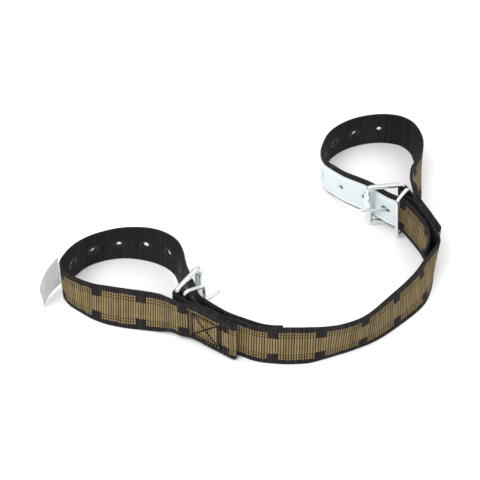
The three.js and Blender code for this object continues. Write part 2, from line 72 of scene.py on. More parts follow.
WIRE_RADIUS = 2.4
FRAME_LENGTH = 33
FRAME_HEIGHT = 46.6
CROSSBAR_CORNER = 3
ROLLER_CORNER = 4.5
ROLLER_BORE = 2.65
ROLLER_OUTER = 3.6
ROLLER_LENGTH = 35
TONGUE_RADIUS = 1.75
EYE_WIRE_RADIUS = 1.3
EYE_LOOP_RADIUS = 3.95
EYE_SLOT = 8
EYE_SLOT_RADIUS = 7.2
KEEPER_WIRE = 1.8  # 0.05 under the CAD's, to slide clear of the webbing
KEEPER_HEIGHT = 47.8
KEEPER_CORNER = 5
KEEPER_LEAN = 0.75
KEEPER_NEAR = (7.7, -0.6)

BOX_AFTER_ROW = 2
BOX_LENGTH = 26.5
BOX_LOW = 6.5
BOX_HIGH = 32
BOX_LINE_BEFORE = 3.6
BOX_LINE_AFTER = 2.4
BOX_LINE_OVER = 2

# The woven pattern on the outer face.
RIB_PITCH = 2.267
BLOCK_PITCH = 40.8
NOTCH_HALF = 4.85
BORDER = 5.2
NOTCH_DEPTH = 11.7
DASH_ROWS = (7.6, 10.5)
YARN_PITCH = 0.95  # of the yarn's ripple across the width
SEAL_HALF_LENGTH = 7.3
SEAL_HALF_HEIGHT = 5.8
# UVs on the cuffs' plain face count from the first hole, so both cuffs share one material.
HOLE_UV_START = 5000
HOLE_UV_PITCH = 26
# Shifts that bring a black notch to a whole number of block pitches.
LEFT_PHASE = 26.4
MIDDLE_PHASE = 13.4
RIGHT_PHASE = 20.0

# ---- The route of the webbing, as in the CAD ----

LEFT = {
    "name": "left",
    "origin": (-53.5, -120.5),
    "heading": math.radians(-31.6),
    "hand": 1,
    "fold_at": 60,
    "rise": 5.7,
    "lean": (0, 0),
    "flare": (3.7, 3, 0),
    "keeper_far": (17.8, 14.4),
    "keeper_lift": 0.4,
    "frame_angle": 0,
    "tongue_angle": math.radians(23),
    "tongue_rise": -4.5,
    "hole_pitch": 25.5,
}
RIGHT = {
    "name": "right",
    "origin": (155, 21.5),
    "heading": math.radians(-67),
    "hand": -1,
    "fold_at": 57,
    "rise": 9,
    "lean": (-4, -4),
    "flare": (7.1, 4.1, 0.9),
    "keeper_far": (17.6, 15.7),
    "keeper_lift": 0.9,
    "frame_angle": math.radians(-22),
    "tongue_angle": math.radians(-7),
    "tongue_rise": 4.3,
    "hole_pitch": 27.6,
}

# Behind its crossbar a sewn stack sinks towards the floor and stands upright again.
SETTLE_LENGTH = 60
SETTLED_RISE = 1.6
LEAN_LENGTH = 30
FREE_END_RISE = 2
TURN_STEPS = 6  # rows round each tight turn, less one


def on_stack(stack, along, out):
    """A point in plan: along a stack from its crossbar, and out the way its buckle reaches."""
    ax, ay = math.cos(stack["heading"]), math.sin(stack["heading"])
    ox, oy = -ay * stack["hand"], ax * stack["hand"]
    x, y = stack["origin"]
    return x + along * ax + out * ox, y + along * ay + out * oy


def stack_row(stack, along, out, rise, lean_share):
    x, y = on_stack(stack, along, out)
    return (x, y, rise, stack["lean"][0] * lean_share, stack["lean"][1] * lean_share)


def turn_rows(stack, centre, radius, start, end, rise, lean_share):
    """Rows round an arc, from one angle to another in degrees."""
    rows = []
    for i in range(TURN_STEPS + 1):
        angle = math.radians(start + (end - start) * i / TURN_STEPS)
        along = centre[0] + radius * math.cos(angle)
        out = centre[1] + radius * math.sin(angle)
        rows.append(stack_row(stack, along, out, rise, lean_share))
    return rows


def stack_rows(stack):
    """Rows of the outer layer, the fold, the middle layer, the crossbar and the inner layer."""
    rise, fold = stack["rise"], stack["fold_at"]

    def rise_at(along):
        return rise - (rise - SETTLED_RISE) * min(along, SETTLE_LENGTH) / SETTLE_LENGTH

    def row(along, out):
        return stack_row(stack, along, out, rise_at(along), max(0, 1 - along / LEAN_LENGTH))

    outer = -WRAP_RADIUS - LAYER_PITCH
    flare = stack["flare"]
    inner = -WRAP_RADIUS + LAYER_PITCH
    fold_centre = (fold, -WRAP_RADIUS - FOLD_RADIUS)
    return [
        row(0, outer - flare[0]),
        row(8, outer - flare[1]),
        row(17, outer - flare[2]),
        row(36, outer),
        *turn_rows(stack, fold_centre, FOLD_RADIUS, -90, 90, rise_at(fold), 0),
        row(36, -WRAP_RADIUS),
        row(17, -WRAP_RADIUS),
        row(7, -WRAP_RADIUS),
        *turn_rows(stack, (0, 0), WRAP_RADIUS, -90, -270, rise, 1),
        row(11, WRAP_RADIUS - 1),
        row(20, inner),
        row(36, inner),
        row(46, inner),
    ]


def free_end_rows(stack):
    def row(along, out):
        rise = stack["rise"] - (stack["rise"] - FREE_END_RISE) * along / SETTLE_LENGTH
        return stack_row(stack, along, out, rise, max(0, 0.5 - along / SETTLE_LENGTH))

    return [row(16, 8), row(24, 6.3), row(36, 4.8), row(48, 4.2)]


# Rows of the route, in millimetres: x, y, rise, then how far the top leans in x and in y.
LEFT_TIP = [
    (36, -157.1, 0, 0.2, 3.4), (27, -156.8, 0.2, 0.2, 3), (17, -154.6, 0.6, 0, 2.4),
    (7.5, -150.6, 1.3, 0, 1.4),
]
LEFT_LOOP = [
    (-45.5, -94, 4.8, 1, 1), (-50.5, -79, 4, 3, 1), (-53.5, -63.5, 3, 4, 1),
    (-58.6, -49.3, 1.7, 3.4, 1.9), (-68.2, -38, 0.7, 2, 2.4), (-80.8, -30.6, 0, 0.8, 1.8),
    (-95.8, -27.4, 0, 0, -1), (-110.2, -27.4, 0, 0, -3.6), (-124.6, -31, 0, 1.8, -5.2),
    (-139, -38.4, 0, 3.5, -4.6), (-149.4, -48.9, 0, 3, -2.1), (-156.6, -62.2, 0, 1.7, -0.6),
    (-159.6, -76.5, 0, 0, 0), (-153.4, -88.6, 0, -0.4, 0), (-142.4, -97.4, 0, 0.3, 1),
    (-128.8, -105.6, 0, 2, 3.6), (-115, -110.4, 0, 2.4, 6.9), (-101.2, -114, 0.2, 1.8, 7.9),
    (-86.8, -117.2, 0.8, 1.5, 7.6), (-71.4, -121.5, 2, 1.8, 6),
]
CONNECTING = [
    (-1, -150.8, 1.2, 0.9, 1.8), (13.5, -156.9, 0.3, 0.7, 2.3), (28.5, -159.2, 0, 0.3, 3.1),
    (43.3, -159.7, 0, 0, 3.8), (58, -159, 0, 0, 2.8), (72.5, -156.2, 0, 0.6, -1.4),
    (87, -151.6, 0, 1.7, -3.9), (100.2, -145.7, 0, 1.7, -3.7), (112.6, -137.6, 0, 0.4, -0.7),
    (123.8, -127.8, 0, -1.8, 2.3), (134.8, -116.9, 0, -3.3, 3.7), (144.9, -106.5, 0, -4.4, 4.6),
    (154.7, -95.4, 0, -6, 5.3), (163, -83.7, 0, -7.7, 4.8), (169.4, -70.4, 0, -7, 2),
    (175.6, -57, 0.4, -1.6, 0), (179.4, -45, 1, 2.6, -1),
]
RIGHT_LOOP = [
    (168.2, 37, 5, -11, 0), (169.8, 48, 3.6, -12, 0), (172.4, 60, 2.6, -12, 0),
    (176.4, 73, 1.8, -7, 0), (179.6, 86, 1.2, -2, 0), (180.6, 98, 0.8, 1, 0),
    (180.6, 111, 0.4, 2.4, -0.6), (179.4, 124, 0.2, 1, -1), (175.4, 138, 0, -1.4, -1.7),
    (165.4, 148.8, 0, -2.4, -4.3), (149.6, 152.9, 0, -0.3, -5.4), (134.2, 151.7, 0, 1.1, -5.3),
    (119.2, 146.8, 0, 2.2, -4.5), (107.6, 140, 0, 2.6, -3.4), (95.6, 128.8, 0, 2.4, -1.8),
    (88.6, 117, 0, 0.6, -0.1), (84.6, 102.3, 0, -2.4, 1), (82.4, 87.8, 0, -4, 0.2),
    (85.4, 74.4, 0.2, -4, -2.3), (93.5, 63.2, 1.2, -4, -2), (102.4, 52, 2.8, -2.9, -2.8),
    (114, 42, 4.2, -2.3, -2.3), (125.4, 31.6, 5.8, -2, -2),
]
RIGHT_TIP = [
    (172.6, -38, 2.2, -1, 0), (171.6, -50, 1.4, -3.4, 0.4), (168.2, -62, 0.8, -6, 1),
]
LEFT_HOLE_ROW = stack_row(LEFT, 8.2, 14.6, 5.7, 0)
RIGHT_HOLE_ROW = stack_row(RIGHT, -0.4, 16.4, 7.2, 0.6)

ROWS = [*LEFT_TIP, *reversed(free_end_rows(LEFT)), LEFT_HOLE_ROW, *LEFT_LOOP]
LEFT_STACK_ROW = len(ROWS)
ROWS += stack_rows(LEFT)
CONNECTING_ROW = len(ROWS)
ROWS += CONNECTING
ROWS += reversed(stack_rows(RIGHT))
RIGHT_LOOP_ROW = len(ROWS)
ROWS += [*RIGHT_LOOP, RIGHT_HOLE_ROW, *free_end_rows(RIGHT), *RIGHT_TIP]


SAME_POINT = 1e-4  # a gap too short to divide by
TANGENT_STEP = 0.02  # in rows


def cubic(a, b, c, d, gaps, t):
    """One span of a centripetal Catmull-Rom curve, from b at t = 0 to c at t = 1."""
    g0, g1, g2 = gaps
    t1 = ((b - a) / g0 - (c - a) / (g0 + g1) + (c - b) / g1) * g1
    t2 = ((c - b) / g1 - (d - b) / (g1 + g2) + (d - c) / g2) * g1
    c2 = -3 * b + 3 * c - 2 * t1 - t2
    c3 = 2 * b - 2 * c + t1 + t2
    return b + t1 * t + c2 * t * t + c3 * t * t * t


def curve_point(points, at):
    """Point of a centripetal Catmull-Rom curve at a fractional row number."""
    span = min(int(at), len(points) - 2)
    b, c = points[span], points[span + 1]
    a = points[span - 1] if span > 0 else 2 * b - c
    d = points[span + 2] if span + 2 < len(points) else 2 * c - b
    g0, g1, g2 = (math.sqrt((end - start).length) for start, end in ((a, b), (b, c), (c, d)))
    g1 = 1 if g1 < SAME_POINT else g1
    g0, g2 = (g1 if gap < SAME_POINT else gap for gap in (g0, g2))
    return cubic(a, b, c, d, (g0, g1, g2), at - span)


LINE = [Vector(row[:3]) for row in ROWS]
TILT = [Vector((row[3], row[4], 0)) for row in ROWS]


def coarse_stations():
    """(row number, distance) pairs at the stations that the CAD counts its distances on."""
    stations, last, distance = [], None, 0
    for span in range(len(LINE) - 1):
        flat = (LINE[span + 1] - LINE[span]).to_2d()
        steps = max(1, int(flat.length / STATION_STEP + 0.5))
        for step in range(1 if span else 0, steps + 1):
            at = span + step / steps
            point = curve_point(LINE, at)
            if last is not None:
                distance += (point - last).to_2d().length
            stations.append((at, distance))
            last = point
    return stations


STATIONS = coarse_stations()
ROUTE_LENGTH = STATIONS[-1][1]


def row_at(distance):
    """Fractional row number at a distance along the route."""
    distance = min(max(distance, 0), ROUTE_LENGTH)
    for (row_a, a), (row_b, b) in zip(STATIONS, STATIONS[1:]):
        if distance <= b:
            return row_a + (row_b - row_a) * (distance - a) / (b - a)
    return STATIONS[-1][0]


def distance_at(row):
    for (row_a, a), (row_b, b) in zip(STATIONS, STATIONS[1:]):
        if row <= row_b:
            return a + (b - a) * (row - row_a) / (row_b - row_a)
    return ROUTE_LENGTH


_frames = {}


def frame_at(distance):
    """(foot, lean, face, tangent) of the webbing at a distance along the route."""
    key = round(distance, 4)
    if key not in _frames:
        at = row_at(distance)
        top = len(LINE) - 1
        before = curve_point(LINE, max(0, at - TANGENT_STEP))
        after = curve_point(LINE, min(top, at + TANGENT_STEP))
        lean = curve_point(TILT, at)
        tangent = ((after - before) * Vector((1, 1, 0))).normalized()
        up = Vector((lean.x, lean.y, WEB_WIDTH)).normalized()
        foot = curve_point(LINE, at) - lean / 2 - FLOOR_CENTRE
        _frames[key] = (foot, lean, tangent.cross(up).normalized(), tangent)
    return _frames[key]


def on_webbing(distance, height, stand_off):
    """A point in metres: distance along, height up the width, stand-off towards the outer face."""
    foot, lean, face, _ = frame_at(distance)
    point = foot + lean * (height / WEB_WIDTH) + face * stand_off
    point.z += height
    return point * MM


FIRST_HOLE = {
    "left": distance_at(ROWS.index(LEFT_HOLE_ROW)),
    "right": distance_at(ROWS.index(RIGHT_HOLE_ROW)),
}
HOLE_STEP = {"left": LEFT["hole_pitch"], "right": -RIGHT["hole_pitch"]}
# Each hinge: a row counted from the connecting length's first, and millimetres past it.
HINGE_ROWS = ((3, 6), (9, -8), (14, -8))
HINGES = tuple(distance_at(CONNECTING_ROW + row) + past for row, past in HINGE_ROWS)
# Rows counted from a stack's outer end.
BOX_ROW = 2
WRAP_ROW = 17
BOX_START = {
    "left": distance_at(LEFT_STACK_ROW + BOX_ROW) + BOX_AFTER_ROW,
    "right": distance_at(RIGHT_LOOP_ROW - 1 - BOX_ROW) - BOX_AFTER_ROW,
}
# Where the pattern's phase changes out of sight, round each crossbar.
LEFT_WRAP = distance_at(LEFT_STACK_ROW + WRAP_ROW)
RIGHT_WRAP = distance_at(RIGHT_LOOP_ROW - WRAP_ROW)


def holes(side):
    """Distances of the punched holes along the route, from the one in use to the last."""
    return [FIRST_HOLE[side] + HOLE_STEP[side] * i for i in range(HOLE_COUNT)]


# ---- Shader graphs ----


class Graph:
    """A material's node tree, with short calls for the nodes used here."""

    def __init__(self, name):
        self.material = bpy.data.materials.new(name)
        self.material.use_nodes = True
        self.nodes = self.material.node_tree.nodes
        self.links = self.material.node_tree.links
        self.shader = self.nodes["Principled BSDF"]

    def put(self, socket, value):
        if isinstance(value, bpy.types.NodeSocket):
            self.links.new(value, socket)
        else:
            socket.default_value = value

    def node(self, kind, inputs=None, **settings):
        node = self.nodes.new(kind)
        for key, value in settings.items():
            setattr(node, key, value)
        for key, value in (inputs or {}).items():
            self.put(node.inputs[key], value)
        return node

    def math(self, operation, a, b=0.0, c=0.0, clamp=False):
        inputs = {0: a, 1: b, 2: c}
        node = self.node("ShaderNodeMath", inputs, operation=operation, use_clamp=clamp)
        return node.outputs[0]

    def times(self, a, b):
        return self.math("MULTIPLY", a, b)

    def plus(self, a, b, clamp=False):
        return self.math("ADD", a, b, clamp=clamp)

    def scaled(self, a, factor, shift):
        return self.math("MULTIPLY_ADD", a, factor, shift)

    def ramp(self, value, low, high, out_low=0.0, out_high=1.0):
        """Smooth step of value from low to high."""
        inputs = {"Value": value, "From Min": low, "From Max": high}
        inputs |= {"To Min": out_low, "To Max": out_high}
        node = self.node("ShaderNodeMapRange", inputs, interpolation_type="SMOOTHSTEP")
        return node.outputs["Result"]

    def mix(self, factor, a, b):
        node = self.node("ShaderNodeMix", {0: factor, 6: a, 7: b}, data_type="RGBA")
        return node.outputs[2]

    def noise(self, scale, detail=3.0, rough=0.5, vector=None):
        inputs = {"Scale": scale, "Detail": detail, "Roughness": rough}
        inputs["Vector"] = vector or self.place()
        return self.node("ShaderNodeTexNoise", inputs).outputs[0]

    def place(self):
        return self.node("ShaderNodeTexCoord").outputs["Object"]

    def strap_place(self):
        """(along, height) in millimetres, from the strap's own UV map."""
        uv = self.node("ShaderNodeTexCoord").outputs["UV"]
        split = self.node("ShaderNodeSeparateXYZ", {0: uv})
        return [self.times(split.outputs[i], 1 / MM) for i in (0, 1)]

    def random(self, value):
        node = self.node("ShaderNodeTexWhiteNoise", {"W": value}, noise_dimensions="1D")
        return node.outputs["Value"]

    def bump(self, height, distance):
        inputs = {"Height": height, "Distance": distance, "Strength": 1.0}
        return self.node("ShaderNodeBump", inputs).outputs[0]

    def set(self, **inputs):
        for key, value in inputs.items():
            self.put(self.shader.inputs[key.replace("_", " ")], value)


def colour(red, green, blue):
    """Linear colour of an sRGB triple in 0 to 255."""

    def linear(value):
        value /= 255
        return value / 12.92 if value <= 0.04045 else ((value + 0.055) / 1.055) ** 2.4

    return (linear(red), linear(green), linear(blue), 1)


BLACK_YARN = colour(16, 13, 14)
# painted highlight: the lighter colour on the crests of the black ribs
BLACK_RIDGE_HIGHLIGHT = colour(58, 54, 55)
OLIVE = colour(72, 57, 35)
# painted highlight on the rib crests, and paler ribs at random
OLIVE_PALE_AND_HIGHLIGHT = colour(157, 137, 97)
# painted shade in the valleys between the ribs
OLIVE_VALLEY_SHADE = colour(25, 20, 13)
MELTED = colour(26, 25, 26)
MELTED_LIGHT = colour(84, 83, 84)
LEATHER_GREY = colour(201, 212, 214)
LEATHER_LIGHT = colour(220, 228, 229)
LEATHER_FIBRE = colour(178, 192, 195)
RIB_WOBBLE = 0.35  # of a rib's pitch
RIB_RAGGED = 0.35  # millimetres that a rib's colours stray from the pattern's edge
EDGE_BLUR = 0.15
WEAVE_DEPTH = 0.34
SEALED_DEPTH = 0.6
WEFT_PITCH = 0.5
WARP_PITCH = 0.35


def ribs(g, along, height):
    """Cross ribs of the weave: (ridge height 0 to 1, rib number, lengthwise yarn ripple)."""
    wobble = g.times(g.noise(90, 2), RIB_WOBBLE)
    rib = g.plus(g.math("DIVIDE", along, RIB_PITCH), wobble)
    number = g.math("FLOOR", rib)
    phase = g.math("FRACT", rib)
    ridge = g.math("SINE", g.times(phase, math.pi))
    ridge = g.math("POWER", ridge, 0.6)
    turn = g.times(number, math.pi)
    yarn = g.plus(g.times(height, 2 * math.pi / YARN_PITCH), turn)
    ripple = g.scaled(g.math("SINE", yarn), 0.5, 0.5)
    return ridge, number, ripple


def edge_distance(g, height):
    other = g.math("SUBTRACT", WEB_WIDTH, height)
    return g.math("MINIMUM", height, other)


def black_cloth(g, ridge, ripple, number):
    # the crests are painted lighter, a painted highlight; fade gives each rib its own tone at
    # random
    lift = g.times(ridge, g.scaled(ripple, 0.45, 0.55))
    fade = g.scaled(g.random(number), 0.5, 0.5)
    shade = g.math("POWER", g.times(lift, fade), 1.5)
    return g.mix(shade, BLACK_YARN, BLACK_RIDGE_HIGHLIGHT)


def cloth_relief(g, ridge, ripple):
    fine = g.times(g.noise(2600, 2), 0.12)
    relief = g.scaled(ripple, 0.16, ridge)
    return g.bump(g.plus(relief, fine), WEAVE_DEPTH * MM)


def block_pattern(g, edge, number):
    """(1 in the olive figure, 1 in a notch). Each rib is one colour step, as in the weave."""
    middle = g.times(g.plus(number, 0.5), RIB_PITCH)
    block = g.math("FRACT", g.plus(g.math("DIVIDE", middle, BLOCK_PITCH), 0.5))
    from_notch = g.math("ABSOLUTE", g.math("SUBTRACT", block, 0.5))
    notch = g.math("LESS_THAN", from_notch, NOTCH_HALF / BLOCK_PITCH)
    depth = g.scaled(notch, NOTCH_DEPTH - BORDER, BORDER)
    olive = g.ramp(g.math("SUBTRACT", edge, depth), -EDGE_BLUR, EDGE_BLUR)
    return olive, notch


def olive_cloth(g, ridge, number, ripple):
    """Olive yarn: each rib has its own tone, a painted highlight on its crest and painted shade in
    the valley beside it.
    """
    tone = g.scaled(g.random(g.plus(number, 31.7)), 0.35, -0.1)
    patch = g.scaled(g.noise(140, 3), 0.5, -0.25)
    # painted highlight along each rib's crest
    crest = g.times(ridge, g.scaled(ripple, 0.6, 0.3))
    shade = g.plus(crest, g.plus(tone, patch), clamp=True)
    cloth = g.mix(shade, OLIVE, OLIVE_PALE_AND_HIGHLIGHT)
    # painted shade in the valley beside each rib
    valley = g.ramp(ridge, 0.42, 0.94, 0.92, 0.0)
    return g.mix(valley, cloth, OLIVE_VALLEY_SHADE)


def dashed_rows(g, cloth, edge, ridge, notch):
    """Rows of short black dashes along the blocks, none beside a notch."""
    for row in DASH_ROWS:
        off = g.math("ABSOLUTE", g.math("SUBTRACT", edge, row))
        line = g.ramp(off, 0.28, 0.6, 1.0, 0.0)
        dash = g.times(line, g.ramp(ridge, 0.99, 0.72, 0.7, 1.0))
        dash = g.times(dash, g.math("SUBTRACT", 1.0, notch))
        cloth = g.mix(g.times(dash, 0.9), cloth, BLACK_YARN)
    return cloth


def patterned_webbing():
    """The outer face: black with olive blocks joined by an olive band."""
    g = Graph("patterned_webbing")
    along, height = g.strap_place()
    ridge, number, ripple = ribs(g, along, height)
    ragged = g.scaled(g.random(number), 2 * RIB_RAGGED, -RIB_RAGGED)
    edge = g.plus(edge_distance(g, height), ragged)
    olive, notch = block_pattern(g, edge, number)
    cloth = dashed_rows(g, olive_cloth(g, ridge, number, ripple), edge, ridge, notch)
    black = black_cloth(g, ridge, ripple, number)
    g.set(Base_Color=g.mix(olive, black, cloth), Roughness=0.78)
    g.set(Normal=cloth_relief(g, ridge, ripple), Specular_IOR_Level=0.12)
    return g.material


def plain_webbing():
    """The inner face and both edges: black, melted smooth round the punched holes."""
    g = Graph("plain_webbing")
    along, height = g.strap_place()
    ridge, number, ripple = ribs(g, along, height)
    sealed = hole_zones(g, along, height)
    cloth = black_cloth(g, ridge, ripple, number)
    melted = g.mix(g.ramp(g.noise(700, 3, 0.6), 0.5, 0.8), MELTED, MELTED_LIGHT)
    g.set(Base_Color=g.mix(sealed, cloth, melted), Roughness=g.scaled(sealed, -0.42, 0.72))
    flat = g.scaled(sealed, -0.75, 1.0)
    relief = g.times(g.scaled(ripple, 0.16, ridge), flat)
    melt = g.times(g.times(g.noise(420, 3), sealed), 0.8)
    g.set(Normal=g.bump(g.plus(relief, melt), SEALED_DEPTH * MM), Specular_IOR_Level=0.15)
    return g.material


def hole_zones(g, along, height):
    """1 inside the heat-sealed ovals round the holes. UVs count from the first hole there."""
    start = g.math("SUBTRACT", along, HOLE_UV_START)
    cell = g.plus(g.math("DIVIDE", start, HOLE_UV_PITCH), 0.5)
    number = g.math("FLOOR", cell)
    past_first = g.math("GREATER_THAN", number, -0.5)
    before_last = g.math("LESS_THAN", number, HOLE_COUNT - 0.5)
    inside = g.times(past_first, before_last)
    local = g.times(g.math("SUBTRACT", g.math("FRACT", cell), 0.5), HOLE_UV_PITCH)
    x = g.math("DIVIDE", local, SEAL_HALF_LENGTH)
    y = g.math("DIVIDE", g.math("SUBTRACT", height, WEB_WIDTH / 2), SEAL_HALF_HEIGHT)
    radius = g.plus(g.times(x, x), g.times(y, y))
    ragged = g.scaled(g.noise(420, 4, 0.65), 1.4, -0.7)
    zone = g.ramp(g.plus(radius, ragged), 0.7, 1.05, 1.0, 0.0)
    return g.times(zone, inside)


def chrome_leather():
    """Pale grey leather: blotched tone, darker fibres and fine pores."""
    g = Graph("chrome_leather")
    blotch = g.noise(60, 4, 0.6)
    fibre = g.noise(900, 4, 0.6)
    tone = g.mix(blotch, LEATHER_GREY, LEATHER_LIGHT)
    tone = g.mix(g.ramp(fibre, 0.3, 0.75, 0.25, 0.0), tone, LEATHER_FIBRE)
    pores = g.node("ShaderNodeTexVoronoi", {"Scale": 1100.0, "Vector": g.place()})
    grain = g.scaled(g.ramp(pores.outputs["Distance"], 0.0, 0.6), 0.6, 0.0)
    relief = g.plus(grain, g.times(g.noise(240, 4, 0.6), 1.2))
    g.set(Base_Color=tone, Normal=g.bump(relief, 0.14 * MM))
    g.set(Roughness=g.scaled(fibre, 0.25, 0.42))
    return g.material


def thread(name, dark, light):
    g = Graph(name)
    twist = g.node("ShaderNodeTexWave", {"Scale": 520.0, "Distortion": 2.0, "Vector": g.place()})
    g.set(Base_Color=g.mix(twist.outputs["Fac"], dark, light), Roughness=0.7)
    g.set(Normal=g.bump(twist.outputs["Fac"], 0.08 * MM), Specular_IOR_Level=0.15)
    return g.material


def plated_wire(name, dull, bright):
    """Nickel plate with faint drawing lines."""
    g = Graph(name)
    soft = g.noise(180, 3)
    lines = g.node("ShaderNodeMapping", {"Vector": g.place(), "Scale": (60, 60, 900)})
    drawn = g.noise(30, 2, vector=lines.outputs[0])
    g.set(Base_Color=g.mix(soft, dull, bright), Metallic=1.0)
    g.set(Roughness=g.scaled(soft, 0.06, 0.19))
    g.set(Normal=g.bump(drawn, 0.006 * MM))
    return g.material


def satin_tape():
    """White tape, woven fine, that lets some light through."""
    g = Graph("satin_tape")
    along, height = g.strap_place()
    weft = g.math("SINE", g.times(height, 2 * math.pi / WEFT_PITCH))
    warp = g.math("SINE", g.times(along, 2 * math.pi / WARP_PITCH))
    weave = g.scaled(g.times(weft, warp), 0.5, 0.5)
    tone = g.mix(g.noise(120, 3), colour(248, 248, 250), colour(254, 254, 254))
    g.set(Base_Color=tone, Roughness=0.42, Normal=g.bump(weave, 0.04 * MM))
    g.set(Sheen_Weight=0.3, Sheen_Roughness=0.3, Transmission_Weight=0.4)
    return g.material


def floor_paper():
    g = Graph("floor_paper")
    tone = g.mix(g.noise(8, 2), colour(247, 247, 247), colour(250, 250, 250))
    g.set(Base_Color=tone, Roughness=0.9, Specular_IOR_Level=0.1)
    return g.material


PATTERNED = patterned_webbing()
PLAIN = plain_webbing()
LEATHER = chrome_leather()
WHITE_THREAD = thread("white_thread", colour(236, 238, 238), colour(254, 254, 252))
DARK_THREAD = thread("dark_thread", colour(8, 7, 7), colour(22, 18, 16))
WIRE = plated_wire("plated_wire", colour(206, 216, 216), colour(236, 240, 240))
KEEPER_FINISH = plated_wire("keeper_wire", colour(208, 212, 216), colour(236, 239, 241))
SATIN = satin_tape()

# ---- Meshes ----

MARK_STEP = 2
MARK_CLEARANCE = 0.15
FEWEST_MARKS = 3  # between two rows
CUTTER_SIDES = 28
CUTTER_DEPTH = 16
FLAT_ANGLE = math.radians(35)


def new_piece(name, vertices, faces, materials):
    mesh = bpy.data.meshes.new(name)
    mesh.from_pydata([tuple(v) for v in vertices], [], faces)
    for material in materials:
        mesh.materials.append(material)
    mesh.polygons.foreach_set("use_smooth", [True] * len(faces))
    piece = bpy.data.objects.new(name, mesh)
    bpy.context.scene.collection.objects.link(piece)
    return piece


def marks_between(start, end):
    """Distances from start to end, close together where the route turns tightly."""
    marks = [start]
    first, last = int(row_at(start)), int(math.ceil(row_at(end)))
    for row in range(first, last):
        a, b = distance_at(row), distance_at(row + 1)
        count = max(FEWEST_MARKS, round((b - a) / MARK_STEP))
        marks += [a + (b - a) * i / count for i in range(count)]
    low, high = start + MARK_CLEARANCE, end - MARK_CLEARANCE
    return [start, *(mark for mark in marks[1:] if low < mark < high), end]


def uv_along(distance):
    """The pattern's own length coordinate, in millimetres, at a distance along the route."""
    if distance < LEFT_WRAP:
        return distance + LEFT_PHASE
    if distance > RIGHT_WRAP:
        return distance + RIGHT_PHASE
    return distance + MIDDLE_PHASE


def section(bottom, top, low, high, corner, columns):
    """Points (height, stand-off) round a flat strip's section: outer face first, then inner."""
    step = (top - bottom - 2 * corner) / columns
    heights = [bottom + corner + step * i for i in range(columns + 1)]
    middle, bend = (low + high) / 2, (high - low) / 2 * 0.7
    outer = [(h, high) for h in heights]
    inner = [(h, low) for h in reversed(heights)]
    near_top, near_bottom = top - corner * 0.25, bottom + corner * 0.25
    upper = [(near_top, middle + bend), (top, middle), (near_top, middle - bend)]
    lower = [(near_bottom, middle - bend), (bottom, middle), (near_bottom, middle + bend)]
    return outer + upper + inner + lower


def strip(name, start, end, ring, face_columns, materials, close=(True, True), hole_side=None):
    """A flat strip along the route; its first face_columns quads take material 0."""
    marks = marks_between(start, end)
    vertices = [on_webbing(mark, h, off) for mark in marks for h, off in ring]
    n = len(ring)
    faces, slots = [], []
    for i in range(len(marks) - 1):
        for j in range(n):
            k = (j + 1) % n
            faces.append((i * n + j, (i + 1) * n + j, (i + 1) * n + k, i * n + k))
            slots.append(0 if j < face_columns else len(materials) - 1)
    ends = (range(n), reversed(range((len(marks) - 1) * n, len(marks) * n)))
    for end_face, closed in zip(ends, close):
        if closed:
            faces.append(tuple(end_face))
            slots.append(len(materials) - 1)
    piece = new_piece(name, vertices, faces, materials)
    piece.data.polygons.foreach_set("material_index", slots)
    lay_uvs(piece.data, marks, [h for h, _ in ring], hole_side)
    return piece


def lay_uvs(mesh, marks, heights, hole_side):
    """UVs in metres along and up the strap."""
    layer = mesh.uv_layers.new(name="strap")
    for polygon in mesh.polygons:
        plain = polygon.material_index != 0
        for loop in polygon.loop_indices:
            ring, place = divmod(mesh.loops[loop].vertex_index, len(heights))
            layer.data[loop].uv = (strap_u(marks[ring], plain, hole_side) * MM, heights[place] * MM)


def strap_u(mark, plain, hole_side):
    """The pattern's length, or on a cuff's plain face one pitch for each hole past the first."""
    if plain and hole_side:
        past = (mark - FIRST_HOLE[hole_side]) / HOLE_STEP[hole_side]
        return HOLE_UV_START + past * HOLE_UV_PITCH
    return uv_along(mark)


def bar(radius, depth):
    """A round bar about the origin, in millimetres, along Z."""
    mesh = bmesh.new()
    size = {"radius1": radius * MM, "radius2": radius * MM, "depth": depth * MM}
    bmesh.ops.create_cone(mesh, cap_ends=True, segments=CUTTER_SIDES, **size)
    return mesh


def cutter(distance, half_length):
    """An oval bar through the webbing, for one punched hole."""
    _, lean, face, _ = frame_at(distance)
    up = Vector((lean.x, lean.y, WEB_WIDTH)).normalized()
    along = up.cross(face).normalized()
    centre = on_webbing(distance, WEB_WIDTH / 2, 0)
    mesh = bar(HOLE_RADIUS, CUTTER_DEPTH)
    stretch = Matrix.Diagonal((half_length / HOLE_RADIUS, 1, 1, 1))
    turn = Matrix((along, up, face)).transposed().to_4x4()
    bmesh.ops.transform(mesh, matrix=Matrix.Translation(centre) @ turn @ stretch, verts=mesh.verts)
    return mesh


def cut(piece, tool_mesh, material):
    """Takes the tool out of the piece; the walls it leaves get the given material."""
    data = bpy.data.meshes.new("tool")
    bmesh.ops.recalc_face_normals(tool_mesh, faces=tool_mesh.faces)
    tool_mesh.to_mesh(data)
    tool_mesh.free()
    data.materials.append(material)
    tool = bpy.data.objects.new("tool", data)
    bpy.context.scene.collection.objects.link(tool)
    modifier = piece.modifiers.new("cut", "BOOLEAN")
    modifier.operation = "DIFFERENCE"
    modifier.solver = "EXACT"
    modifier.material_mode = "TRANSFER"
    modifier.object = tool
    apply_modifiers(piece)
    bpy.data.objects.remove(tool)


def apply_modifiers(piece):
    depsgraph = bpy.context.evaluated_depsgraph_get()
    result = bpy.data.meshes.new_from_object(piece.evaluated_get(depsgraph))
    piece.modifiers.clear()
    piece.data = result


